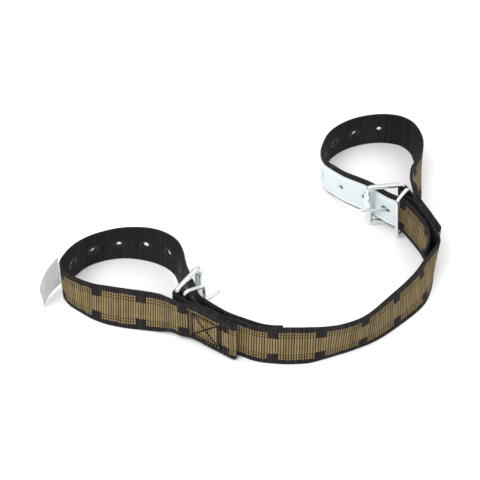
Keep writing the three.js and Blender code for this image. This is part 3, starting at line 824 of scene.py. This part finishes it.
def join_meshes(tools):
    """One bmesh of them all; the given ones are freed."""
    whole = bmesh.new()
    for tool in tools:
        data = bpy.data.meshes.new("part")
        tool.to_mesh(data)
        tool.free()
        whole.from_mesh(data)
        bpy.data.meshes.remove(data)
    return whole


def hole_tools(side):
    """Bars for one cuff's holes. The hole in use is pulled into a slot by its tongue."""
    lengths = [PULLED_HOLE_HALF_LENGTH] + [HOLE_RADIUS] * (HOLE_COUNT - 1)
    tools = [cutter(distance, length) for distance, length in zip(holes(side), lengths)]
    return join_meshes(tools)


# ---- The webbing ----

WEB_COLUMNS = 18
HALF_THICK = WEB_THICKNESS / 2
WEB_CORNER = 0.8
WEB_RING = section(0, WEB_WIDTH, -HALF_THICK, HALF_THICK, WEB_CORNER, WEB_COLUMNS)
REACH = 14  # how far each piece runs past its hinge
BLEND_REACH = 11  # how far from the hinge a bend would start and end; bend_across finds these points but does not use them


def webbing(name, start, end, close=(False, False), hole_side=None):
    return strip(name, start, end, WEB_RING, WEB_COLUMNS, (PATTERNED, PLAIN), close, hole_side)


def bend_across(piece, hinge):
    """Bakes the piece's place into its mesh; the points either side of the hinge, where a bend
    would start and end, are found but not used.
    """
    start = on_webbing(hinge - BLEND_REACH, WEB_WIDTH / 2, 0)
    end = on_webbing(hinge + BLEND_REACH, WEB_WIDTH / 2, 0)
    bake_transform(piece)


def eye_slot_tool(stack):
    """The round gap in the wrapped webbing that lets the tongue's eye onto the crossbar."""
    at, _, _, up = turned_axes(stack, 0)
    mesh = bar(EYE_SLOT_RADIUS, EYE_SLOT)
    turn = Vector((0, 0, 1)).rotation_difference(up).to_matrix().to_4x4()
    bmesh.ops.transform(mesh, matrix=Matrix.Translation(at(0, 0, 0)) @ turn, verts=mesh.verts)
    return mesh


def crossbar_axes(stack):
    """(origin, up, out, along) of a stack's crossbar."""
    lean = stack["lean"]
    up = Vector((lean[0], lean[1], WEB_WIDTH)).normalized()
    x, y = stack["origin"]
    ox, oy = on_stack(stack, 0, 1)
    origin = Vector((x, y, stack["rise"] + WEB_WIDTH / 2)) - FLOOR_CENTRE
    flat = Vector((ox - x, oy - y, 0))
    out = (flat - up * flat.dot(up)).normalized()
    along = out.cross(up) * stack["hand"]
    return origin, up, out, along


def turned_axes(stack, angle):
    """(at, reach, side, up): axes turned about the crossbar from out towards along."""
    origin, up, out, along = crossbar_axes(stack)
    reach = out * math.cos(angle) + along * math.sin(angle)
    side = along * math.cos(angle) - out * math.sin(angle)

    def at(by_reach, by_side, by_up):
        return (origin + reach * by_reach + side * by_side + up * by_up) * MM

    return at, reach, side, up


def hand_over(piece, body, node, slot):
    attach(piece, body)
    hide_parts(node)


def cuff_webbing(stack, start, end, close):
    side = stack["name"]
    piece = webbing(f"{side}_cuff_strap", start, end, close, side)
    cut(piece, hole_tools(side), PLAIN)
    cut(piece, eye_slot_tool(stack), PLAIN)
    hand_over(piece, f"{side}_cuff", f"{side}_cuff_webbing", "webbing")


def connecting_webbing():
    left, middle, right = HINGES
    a = webbing("left_strap", left - REACH, middle - REACH)
    bend_across(a, left)
    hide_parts("left_strap_half")
    b = webbing("middle_strap", middle - REACH, middle + REACH)
    bend_across(b, middle)
    c = webbing("right_strap", middle + REACH, right + REACH)
    bend_across(c, right)
    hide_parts("right_strap_half")


# ---- Leather, thread and label ----

SEAM_HEIGHTS = {"lower": LEATHER_BOTTOM + SEAM_INSET, "upper": LEATHER_TOP - SEAM_INSET}
SEAM_GROOVE = 0.35
LEATHER_BASE = HALF_THICK + 0.1


def leather_span(side):
    """Where one facing starts and ends along the route."""
    places = holes(side)
    way = math.copysign(1, HOLE_STEP[side])
    a = places[0] - way * LEATHER_PAST_FIRST_HOLE
    b = places[-1] + way * LEATHER_PAST_LAST_HOLE
    return min(a, b), max(a, b)


def leather_ring():
    """Section of the facing, drawn down along its two seams and soft at its cut edges."""
    low, high = LEATHER_BASE, LEATHER_BASE + LEATHER_THICKNESS
    bottom, top = LEATHER_BOTTOM, LEATHER_TOP
    rim = [(bottom, low + 0.35), (bottom + 0.15, high - 0.65), (bottom + 0.7, high - 0.25)]
    seam = [(-0.9, 0.12), (0, SEAM_GROOVE), (0.9, 0.12), (2.4, 0)]
    lower = rim + [(bottom + SEAM_INSET + over, high - dip) for over, dip in seam]
    upper = [(bottom + top - height, off) for height, off in reversed(lower)]
    middle = [(bottom + (top - bottom) * share, high + 0.05) for share in (0.3, 0.4, 0.5, 0.6, 0.7)]
    back = [(top - 0.2, low), (bottom + 0.2, low)]
    return lower + middle + upper + back


def leather_facing(side):
    ring = leather_ring()
    piece = strip(f"{side}_facing", *leather_span(side), ring, len(ring), (LEATHER,))
    cut(piece, hole_tools(side), LEATHER)
    hand_over(piece, f"{side}_cuff", f"{side}_leather_facing", "leather")


# Along one stitch: share of its length, then width and lift as shares of the thread's radius.
STITCH_PROFILE = (
    (0, 0.3, -0.9), (0.12, 0.8, -0.25), (0.35, 1, 0.1), (0.65, 1, 0.1), (0.88, 0.8, -0.25),
    (1, 0.3, -0.9),
)
STITCH_SIDES = 8


def stitches(name, runs, material, radius, body, node, slot):
    """Thread laid in short stitches; each run is (start, end, face), the points in metres."""
    vertices, faces = [], []
    for a, b, face in runs:
        add_stitch(vertices, faces, a, b, face, radius * MM)
    hand_over(new_piece(name, vertices, faces, (material,)), body, node, slot)


def tube_faces(first, rings, sides):
    """Quads of a tube of rings, with both ends closed."""
    faces = []
    for base in range(first, first + (rings - 1) * sides, sides):
        for j in range(sides):
            k = (j + 1) % sides
            faces.append((base + j, base + k, base + sides + k, base + sides + j))
    last = first + (rings - 1) * sides
    ends = [tuple(reversed(range(first, first + sides))), tuple(range(last, last + sides))]
    return faces + ends


def add_stitch(vertices, faces, a, b, face, radius):
    """One stitch: a plump bar of thread from a to b that dips into the cloth at both ends."""
    axis = (b - a).normalized()
    side = axis.cross(face).normalized()
    faces += tube_faces(len(vertices), len(STITCH_PROFILE), STITCH_SIDES)
    for share, width, lift in STITCH_PROFILE:
        centre = a.lerp(b, share) + face * (radius * lift)
        for i in range(STITCH_SIDES):
            angle = 2 * math.pi * i / STITCH_SIDES
            offset = side * math.cos(angle) + face * math.sin(angle)
            vertices.append(centre + offset * (radius * width))


SEAM_PITCH = 3.4
SEAM_STITCH = 2.5
SEAM_LIFT = 0.22
SEAM_THREAD = 0.42
BOX_STITCH = 2.9
BOX_LIFT = 0.12
BOX_THREAD = 0.7
BOX_OVERRUN = 1.2


def leather_seams(side):
    start, end = leather_span(side)
    stand_off = LEATHER_BASE + LEATHER_THICKNESS - SEAM_GROOVE + SEAM_LIFT
    count = int((end - start - 2 * SEAM_INSET) / SEAM_PITCH)
    for name, height in SEAM_HEIGHTS.items():
        runs = []
        for i in range(count):
            mark = start + SEAM_INSET + (i + 0.5) * SEAM_PITCH
            a = on_webbing(mark - SEAM_STITCH / 2, height, stand_off)
            b = on_webbing(mark + SEAM_STITCH / 2, height, stand_off)
            runs.append((a, b, frame_at(mark)[2]))
        places = (f"{side}_cuff", f"{side}_leather_seam_{name}", "white_thread")
        stitches(f"{side}_seam_{name}", runs, WHITE_THREAD, SEAM_THREAD, *places)


def box_stitch(side):
    """The box and cross through the sewn stack, with a double row at each end."""
    start, way = BOX_START[side], {"left": 1, "right": -1}[side]
    low, high = BOX_LOW, BOX_HIGH
    after = BOX_LENGTH + BOX_LINE_AFTER
    rows = (low - BOX_LINE_OVER, high + BOX_LINE_OVER)
    lines = [
        ((0, low), (BOX_LENGTH, low)),
        ((0, high), (BOX_LENGTH, high)),
        ((0, low - BOX_OVERRUN), (0, high + BOX_OVERRUN)),
        ((BOX_LENGTH, low), (BOX_LENGTH, high)),
        ((0, low), (BOX_LENGTH, high)),
        ((0, high), (BOX_LENGTH, low)),
        ((-BOX_LINE_BEFORE, rows[0]), (-BOX_LINE_BEFORE, rows[1])),
        ((after, rows[0]), (after, rows[1])),
    ]
    runs = []
    for (along_a, height_a), (along_b, height_b) in lines:
        length = math.hypot(along_b - along_a, height_b - height_a)
        count = max(1, round(length / BOX_STITCH))
        for i in range(count):
            ends = []
            for share in ((i + 0.01) / count, (i + 0.99) / count):
                along = along_a + (along_b - along_a) * share
                height = height_a + (height_b - height_a) * share
                ends.append((start + way * along, height))
            a, b = (on_webbing(mark, height, HALF_THICK + BOX_LIFT) for mark, height in ends)
            runs.append((a, b, frame_at(ends[0][0])[2]))
    places = (f"{side}_cuff", f"{side}_box_stitch", "dark_thread")
    stitches(f"{side}_box", runs, DARK_THREAD, BOX_THREAD, *places)


# ---- Wire pieces ----

WIRE_SIDES = 20
FRAME_SIDES = 24
END_SHARES = (0.35, 0.75, 0.95)  # of the radius, over a bar's rounded end
END_BULGE = 0.5
SIDE_STEPS = 6
BEND_STEPS = 8
WIRE_GAP = 0.6


def path_frames(points):
    """(point, tangent, normal) along the points, without twist."""
    frames, normal = [], None
    for i, point in enumerate(points):
        tangent = (points[min(i + 1, len(points) - 1)] - points[max(i - 1, 0)]).normalized()
        if normal is None:
            normal = tangent.orthogonal().normalized()
        normal = (normal - tangent * normal.dot(tangent)).normalized()
        frames.append((point, tangent, normal))
    return frames


def sweep(name, points, radii, sides=WIRE_SIDES, finish=WIRE):
    """A round bar along points in metres, with rounded ends."""
    frames = path_frames(points)
    first, last = [], []
    for share in END_SHARES:
        push = END_BULGE * math.sqrt(1 - share * share)
        first.append((frames[0], radii[0] * share, -radii[0] * push))
        last.append((frames[-1], radii[-1] * share, radii[-1] * push))
    rings = [*first, *((f, r, 0) for f, r in zip(frames, radii)), *reversed(last)]
    vertices = []
    for (point, tangent, normal), radius, push in rings:
        cross = tangent.cross(normal)
        for i in range(sides):
            angle = 2 * math.pi * i / sides
            spoke = normal * math.cos(angle) + cross * math.sin(angle)
            vertices.append(point + tangent * push + spoke * radius)
    return new_piece(name, vertices, tube_faces(0, len(rings), sides), (finish,))


def rounded_loop(at, width, height, near, far):
    """Points round a rectangle with rounded corners, open in the middle of its first side."""
    top, gap = height / 2, WIRE_GAP / 2
    corners = [
        ((0, top - near), (0, top), (near, top)),
        ((width - far, top), (width, top), (width, top - far)),
        ((width, far - top), (width, -top), (width - far, -top)),
        ((near, -top), (0, -top), (0, near - top)),
    ]
    flat = [(0, gap)]
    for start, bend, end in corners:
        last = flat[-1]
        flat += [lerp2(last, start, i / SIDE_STEPS) for i in range(1, SIDE_STEPS)]
        for share in (i / BEND_STEPS for i in range(BEND_STEPS + 1)):
            flat.append(lerp2(lerp2(start, bend, share), lerp2(bend, end, share), share))
    last = flat[-1]
    flat += [lerp2(last, (0, -gap), i / SIDE_STEPS) for i in range(1, SIDE_STEPS + 1)]
    return [at(x, z) for x, z in flat]


def lerp2(a, b, share):
    return (a[0] + (b[0] - a[0]) * share, a[1] + (b[1] - a[1]) * share)


def buckle(stack):
    side = stack["name"]
    at, reach, _, up = turned_axes(stack, stack["frame_angle"])
    corners = (CROSSBAR_CORNER, ROLLER_CORNER)
    points = rounded_loop(lambda x, z: at(x, 0, z), FRAME_LENGTH, FRAME_HEIGHT, *corners)
    radii = [WIRE_RADIUS * MM] * len(points)
    piece = sweep(f"{side}_frame_wire", points, radii, FRAME_SIDES)
    hand_over(piece, f"{side}_buckle", f"{side}_buckle_frame", "plated_wire")
    roller(side, at(FRAME_LENGTH, 0, 0), up, reach)
    tongue(stack)
    keeper(stack)


ROLLER_GAP = math.radians(7)
ROLLER_STEPS = 44
LIP = ROLLER_OUTER - 0.2
# (radius, share of half the length) round the sheet's edges.
ROLLER_EDGE = [(ROLLER_BORE, 1), (LIP, 1), (ROLLER_OUTER, 0.97), (ROLLER_OUTER, 0.5)]
ROLLER_PROFILE = [(radius, -share) for radius, share in ROLLER_EDGE] + ROLLER_EDGE[::-1]


def roller(side, centre, up, reach):
    """A sheet rolled into a tube, with the seam left where its edges meet."""
    across = up.cross(reach).normalized()
    vertices = []
    for i in range(ROLLER_STEPS + 1):
        angle = ROLLER_GAP / 2 + (2 * math.pi - ROLLER_GAP) * i / ROLLER_STEPS
        spoke = reach * math.cos(angle) + across * math.sin(angle)
        for radius, share in ROLLER_PROFILE:
            vertices.append(centre + (spoke * radius + up * (share * ROLLER_LENGTH / 2)) * MM)
    faces = tube_faces(0, ROLLER_STEPS + 1, len(ROLLER_PROFILE))
    piece = new_piece(f"{side}_roller_tube", vertices, faces, (WIRE,))
    shade_by_angle(piece)
    hand_over(piece, f"{side}_roller", f"{side}_buckle_roller", "plated_wire")


def shade_by_angle(piece):
    """Outward normals, and a hard edge wherever two faces meet at more than FLAT_ANGLE."""
    mesh = bmesh.new()
    mesh.from_mesh(piece.data)
    bmesh.ops.recalc_face_normals(mesh, faces=mesh.faces)
    for edge in mesh.edges:
        if len(edge.link_faces) == 2 and edge.calc_face_angle() > FLAT_ANGLE:
            edge.smooth = False
    mesh.to_mesh(piece.data)
    mesh.free()


EYE_START = 20
EYE_TURN = 322
EYE_STEPS = 30
# Points of the shank: reach, stand-off, then share of the tongue's rise.
BOW = (
    (5.6, -0.4, 0), (12, 1.6, 0), (22, 2.3, 0.2), (33, 1.6, 0.65), (40, 0, 0.87), (44, -1.2, 1),
)
BOW_STEPS = 40
BOW_FIRST = 3  # the eye's end runs straight to this step
NECK_STEPS = 10
NECK = 0.76
TIP_STEPS = 6
TIP = 0.65


def tongue(stack):
    """One wire: an eye curled round the crossbar, then a bowed shank over the roller."""
    side = stack["name"]
    at, _, _, _ = turned_axes(stack, stack["tongue_angle"])
    points, radii = [], []
    for i in range(EYE_STEPS + 1):
        angle = math.radians(EYE_START + EYE_TURN * i / EYE_STEPS)
        points.append(at(EYE_LOOP_RADIUS * math.cos(angle), EYE_LOOP_RADIUS * math.sin(angle), 0))
        radii.append(EYE_WIRE_RADIUS * MM)
    bow = [Vector((x, y, share * stack["tongue_rise"])) for x, y, share in BOW]
    for i in range(BOW_FIRST, BOW_STEPS + 1):
        points.append(at(*curve_point(bow, (len(bow) - 1) * i / BOW_STEPS)))
        radii.append(TONGUE_RADIUS * MM * shank_share(i))
    piece = sweep(f"{side}_tongue_wire", points, radii)
    hand_over(piece, f"{side}_tongue", f"{side}_buckle_tongue", "plated_wire")


def shank_share(step):
    """Thickness along the shank: narrow at the eye and at the tip."""
    taper = 1 - (1 - TIP) * max(0, step - BOW_STEPS + TIP_STEPS) / TIP_STEPS
    return taper * min(1, NECK + (1 - NECK) * step / NECK_STEPS)


def keeper(stack):
    """A loose wire loop round the sewn stack and the billet."""
    side = stack["name"]
    origin, _, out, along = crossbar_axes(stack)
    lean = stack["lean"]
    up = Vector((lean[0] * KEEPER_LEAN, lean[1] * KEEPER_LEAN, WEB_WIDTH)).normalized()

    def place(pair):
        return origin + along * pair[0] + out * pair[1]

    near, far = place(KEEPER_NEAR), place(stack["keeper_far"])
    across = (far - near).normalized()
    depth = (far - near).length

    def at(x, z):
        return (near + across * x + up * (z + stack["keeper_lift"])) * MM

    points = rounded_loop(at, depth, KEEPER_HEIGHT, KEEPER_CORNER, KEEPER_CORNER)
    radii = [KEEPER_WIRE * MM] * len(points)
    piece = sweep(f"{side}_keeper_wire", points, radii, finish=KEEPER_FINISH)
    hand_over(piece, f"{side}_keeper_loop", f"{side}_keeper", "plated_wire")


# ---- The label ----

LABEL = {
    "sewn_top": (-163.3, -66, 37.5),
    "sewn_bottom": (-163.3, -64.5, 4),
    "free_top": (-176.5, -99.5, 30.5),
    "free_bottom": (-175.5, -92.5, 0.4),
}
LABEL_BULGE = 2.6
LABEL_OUTWARDS = Vector((-0.93, 0.37, 0))
LABEL_RIPPLE = 0.35
LABEL_ACROSS = 28
LABEL_UP = 24
LABEL_UV = 0.035
LABEL_PLY = 0.25


def label_point(corner, u, v):
    sewn = corner["sewn_bottom"].lerp(corner["sewn_top"], v)
    free = corner["free_bottom"].lerp(corner["free_top"], v)
    bulge = LABEL_BULGE * math.sin(math.pi * u)
    ripple = LABEL_RIPPLE * math.sin(3 * math.pi * v + 1) * u
    return (sewn.lerp(free, u) + LABEL_OUTWARDS * (bulge + ripple)) * MM


def label():
    """A blank satin tape, one ply, sewn by one edge and curling towards the floor."""
    corner = {key: Vector(value) - FLOOR_CENTRE for key, value in LABEL.items()}
    n = LABEL_UP + 1
    grid = [(i / LABEL_ACROSS, j / LABEL_UP) for i in range(LABEL_ACROSS + 1) for j in range(n)]
    vertices = [label_point(corner, u, v) for u, v in grid]
    starts = [i * n + j for i in range(LABEL_ACROSS) for j in range(LABEL_UP)]
    faces = [(a, a + n, a + n + 1, a + 1) for a in starts]
    piece = new_piece("blank_label", vertices, faces, (SATIN,))
    layer = piece.data.uv_layers.new(name="strap")
    for loop in piece.data.loops:
        u, v = grid[loop.vertex_index]
        layer.data[loop.index].uv = (u * LABEL_UV, v * LABEL_UV)
    solid = piece.modifiers.new("ply", "SOLIDIFY")
    solid.thickness = LABEL_PLY * MM
    solid.offset = 0
    hand_over(piece, "label_flap", "sewn_label", "label_satin")


# ---- Floor, light and camera ----

LENS = 94.4
CAMERA_PLACE = (-0.0037, -0.9038, 0.78754)
CAMERA_TILT = math.radians(49)
SENSOR = 36
FAR_CLIP = 50
FLOOR_HALF = 6
# name, place, size in metres, watts
LIGHTS = (("key", (-0.5, -0.7, 1.1), 0.9, 12), ("fill", (0.8, 0.3, 0.9), 0.9, 3))
LIT_POINT = Vector((0, 0, 0.02))
# Of the direction's height, then of the brightness there.
WALL_BAND = {"From Min": 0.08, "From Max": 0.34, "To Min": 0.35, "To Max": 1.0}


def stage():
    signs = ((-1, -1), (1, -1), (1, 1), (-1, 1))
    corners = [(x * FLOOR_HALF, y * FLOOR_HALF, 0) for x, y in signs]
    floor = new_piece("floor", corners, [(0, 1, 2, 3)], (floor_paper(),))
    world = bpy.data.worlds.new("studio")
    bpy.context.scene.world = world
    world.use_nodes = True
    studio_walls(world.node_tree)
    for light in LIGHTS:
        area_light(*light)


def studio_walls(tree):
    """A pale ceiling above a darker band round the horizon, which draws lines on the wire."""
    place = tree.nodes.new("ShaderNodeTexCoord")
    split = tree.nodes.new("ShaderNodeSeparateXYZ")
    tree.links.new(place.outputs["Generated"], split.inputs[0])
    level = tree.nodes.new("ShaderNodeMapRange")
    level.interpolation_type = "SMOOTHSTEP"
    tree.links.new(split.outputs[2], level.inputs["Value"])
    for socket, value in WALL_BAND.items():
        level.inputs[socket].default_value = value
    tree.links.new(level.outputs["Result"], tree.nodes["Background"].inputs["Strength"])
    tree.nodes["Background"].inputs["Color"].default_value = (1, 1, 1, 1)


def area_light(name, place, size, watts):
    data = bpy.data.lights.new(name, "AREA")
    data.shape = "DISK"
    data.size = size
    data.energy = watts
    light = bpy.data.objects.new(name, data)
    light.location = place
    aim = LIT_POINT - Vector(place)
    light.rotation_euler = aim.to_track_quat("-Z", "Y").to_euler()
    bpy.context.scene.collection.objects.link(light)


def camera():
    data = bpy.data.cameras.new("camera")
    data.sensor_width = SENSOR
    data.lens = LENS
    data.clip_end = FAR_CLIP
    viewer = bpy.data.objects.new("camera", data)
    viewer.location = CAMERA_PLACE
    viewer.rotation_euler = (CAMERA_TILT, 0, 0)
    bpy.context.scene.collection.objects.link(viewer)
    bpy.context.scene.camera = viewer
    bpy.context.scene.view_settings.view_transform = "Standard"


# ---- Assembly ----

cuff_webbing(LEFT, 0, HINGES[0] - REACH, (True, False))
cuff_webbing(RIGHT, HINGES[2] + REACH, ROUTE_LENGTH, (False, True))
connecting_webbing()
for stack in (LEFT, RIGHT):
    leather_facing(stack["name"])
    leather_seams(stack["name"])
    box_stitch(stack["name"])
    buckle(stack)
label()
stage()
camera()
